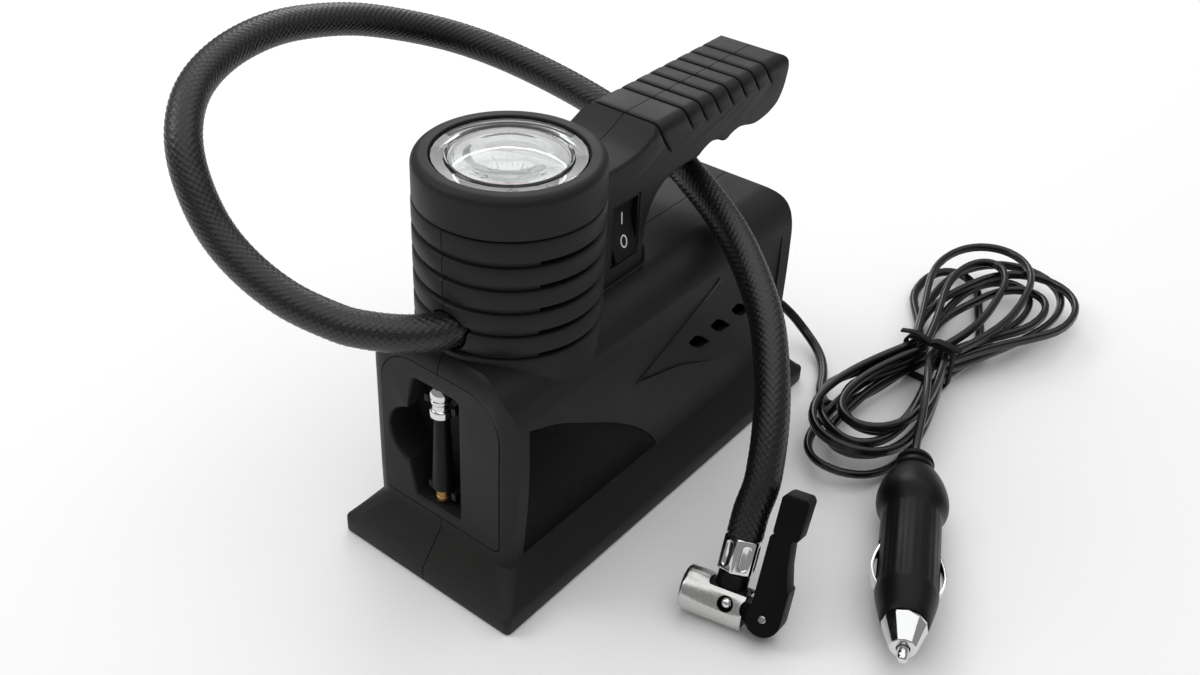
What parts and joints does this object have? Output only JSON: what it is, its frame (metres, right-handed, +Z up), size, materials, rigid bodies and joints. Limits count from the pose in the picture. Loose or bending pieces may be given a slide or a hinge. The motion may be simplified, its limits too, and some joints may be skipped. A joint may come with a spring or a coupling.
{
  "type": "portable tire inflator",
  "caption": "Portable car air compressor with a gauge tower, carry handle, braided hose with lever chuck, and a tied cord with car plug.",
  "frame": {"origin": "centre of the base on the floor", "axes": "+Z up, -Y towards the side with the storage pocket and gauge tower, +X towards the side with the switch, chuck and plug"},
  "size_m": [0.2589, 0.3382, 0.1602],
  "materials": {
    "shell_plastic": "fine moulded texture, satin",
    "black_plastic": "smooth satin",
    "gloss_plate": "gloss",
    "clear_lens": "clear",
    "dial_white": "matte print",
    "needle_red": "matte",
    "hose_braid": "braided over rubber",
    "soft_rubber": "matte",
    "cord_jacket": "satin jacket",
    "chrome_plate": "polished",
    "steel": "brushed",
    "cast_alu": "cast, satin",
    "brass": "satin",
    "nylon": "natural nylon",
    "fuse_ceramic": "matte ceramic"
  },
  "bodies": {
    "base": {"air_hose": "hose_braid", "chuck_body": "chrome_plate", "chuck_pin": "steel", "chuck_seal": "soft_rubber", "chuck_sleeve": "steel", "cord_tie": "cord_jacket", "cylinder": "cast_alu", "cylinder_head": "cast_alu", "front_panel": "shell_plastic", "gauge_bezel": "shell_plastic", "gauge_case": "steel", "gauge_dial": "dial_white", "gauge_lens": "clear_lens", "gauge_movement": "brass", "gear_frame": "cast_alu", "head_gasket": "soft_rubber", "hose_ferrule": "chrome_plate", "housing_left": "shell_plastic", "housing_right": "shell_plastic", "housing_screw_1": "steel", "housing_screw_2": "steel", "housing_screw_3": "steel", "housing_screw_4": "steel", "housing_screw_5": "steel", "motor_can": "steel", "motor_end_cap": "nylon", "plug_body": "black_plastic", "plug_nose": "chrome_plate", "plug_spring": "steel", "power_cord_hank": "cord_jacket", "power_cord_lead": "cord_jacket", "power_cord_tail": "cord_jacket", "side_label": "gloss_plate", "strain_relief": "soft_rubber", "switch_frame": "black_plastic"},
    "rocker": {"switch_rocker": "black_plastic"},
    "needle": {"gauge_needle": "needle_red"},
    "rotor": {"motor_rotor": "steel"},
    "crank": {"crank_gear": "nylon"},
    "piston": {"piston_rod": "cast_alu", "cup_seal": "soft_rubber"},
    "lever": {"chuck_lever": "black_plastic"},
    "plunger": {"plug_pin": "chrome_plate", "plug_fuse": "fuse_ceramic"},
    "contact_left": {"plug_contact_left": "chrome_plate"},
    "contact_right": {"plug_contact_right": "chrome_plate"},
    "adapter": {"adapter_tip": "brass", "adapter_cone": "black_plastic", "adapter_collar": "chrome_plate"}
  },
  "joints": [
    {"name": "rocker_tilt", "type": "hinge", "parent": "base", "child": "rocker", "pos_m": [0.0126, -0.008, 0.1065], "axis": [0, 1, 0], "range_deg": [0, 18]},
    {"name": "needle_turn", "type": "hinge", "parent": "base", "child": "needle", "pos_m": [0, -0.0484, 0.134], "axis": [0, 0, -1], "range_deg": [0, 270], "stiffness_Nm_per_rad": 0.0001},
    {"name": "rotor_spin", "type": "hinge", "parent": "base", "child": "rotor", "pos_m": [0, 0, 0.0602], "axis": [0, 1, 0], "continuous": true},
    {"name": "crank_spin", "type": "hinge", "parent": "base", "child": "crank", "pos_m": [0, -0.0215, 0.031], "axis": [0, 1, 0], "continuous": true},
    {"name": "piston_stroke", "type": "slide", "parent": "base", "child": "piston", "axis": [0, 0, 1], "range_m": [-0.014, 0]},
    {"name": "lever_flip", "type": "hinge", "parent": "base", "child": "lever", "pos_m": [0.09937, -0.03596, 0.0087], "axis": [-0.1923, 0.8484, -0.4932], "range_deg": [0, 55]},
    {"name": "plug_tip_press", "type": "slide", "parent": "base", "child": "plunger", "axis": [-0.4141, 0.9102, 0], "range_m": [0, 0.003], "stiffness_N_per_m": 300, "springref_m": -0.003, "deforming": ["plug_spring"]},
    {"name": "contact_left_press", "type": "slide", "parent": "base", "child": "contact_left", "axis": [0.9102, 0.4141, 0], "range_m": [0, 0.0008], "stiffness_N_per_m": 500, "springref_m": -0.001},
    {"name": "contact_right_press", "type": "slide", "parent": "base", "child": "contact_right", "axis": [-0.9102, -0.4141, 0], "range_m": [0, 0.0008], "stiffness_N_per_m": 500, "springref_m": -0.001},
    {"name": "adapter_pull", "type": "slide", "parent": "base", "child": "adapter", "axis": [0, -1, 0], "range_m": [0, 0.025]}
  ],
  "couplings": [
    {"joint": "crank_spin", "follows": "rotor_spin", "ratio": -0.20833}
  ]
}
